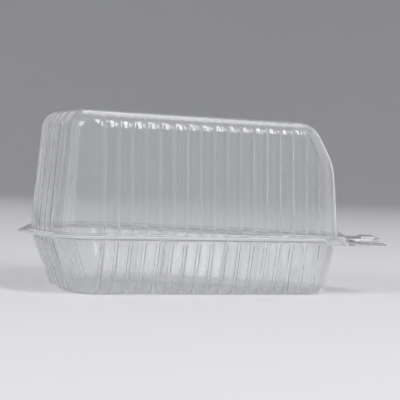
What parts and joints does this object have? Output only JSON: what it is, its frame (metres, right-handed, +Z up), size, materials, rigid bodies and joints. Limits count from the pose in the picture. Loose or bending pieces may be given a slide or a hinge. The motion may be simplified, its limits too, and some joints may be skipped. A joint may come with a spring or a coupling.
{
  "type": "plastic clamshell pack",
  "caption": "Clear hinged wedge-shaped pack for a slice of cake: fluted tapered tray, tall fluted domed lid, rim flange, back fold and opening tab at the tip.",
  "frame": {"origin": "middle of the bounding box on the plane the tray stands on", "axes": "+X from the back fold to the tip and its tab, +Z up, Y across; the part is the same on both sides of the XZ plane"},
  "size_m": [0.173, 0.123, 0.0828],
  "materials": {
    "clear_sheet": "clear, glossy"
  },
  "bodies": {
    "tray": {"tray": "clear_sheet"},
    "lid": {"lid": "clear_sheet"}
  },
  "joints": [
    {"name": "lid_fold", "type": "hinge", "parent": "tray", "child": "lid", "pos_m": [-0.08655, 0, 0.02605], "axis": [0, -1, 0], "range_deg": [0, 125]}
  ]
}
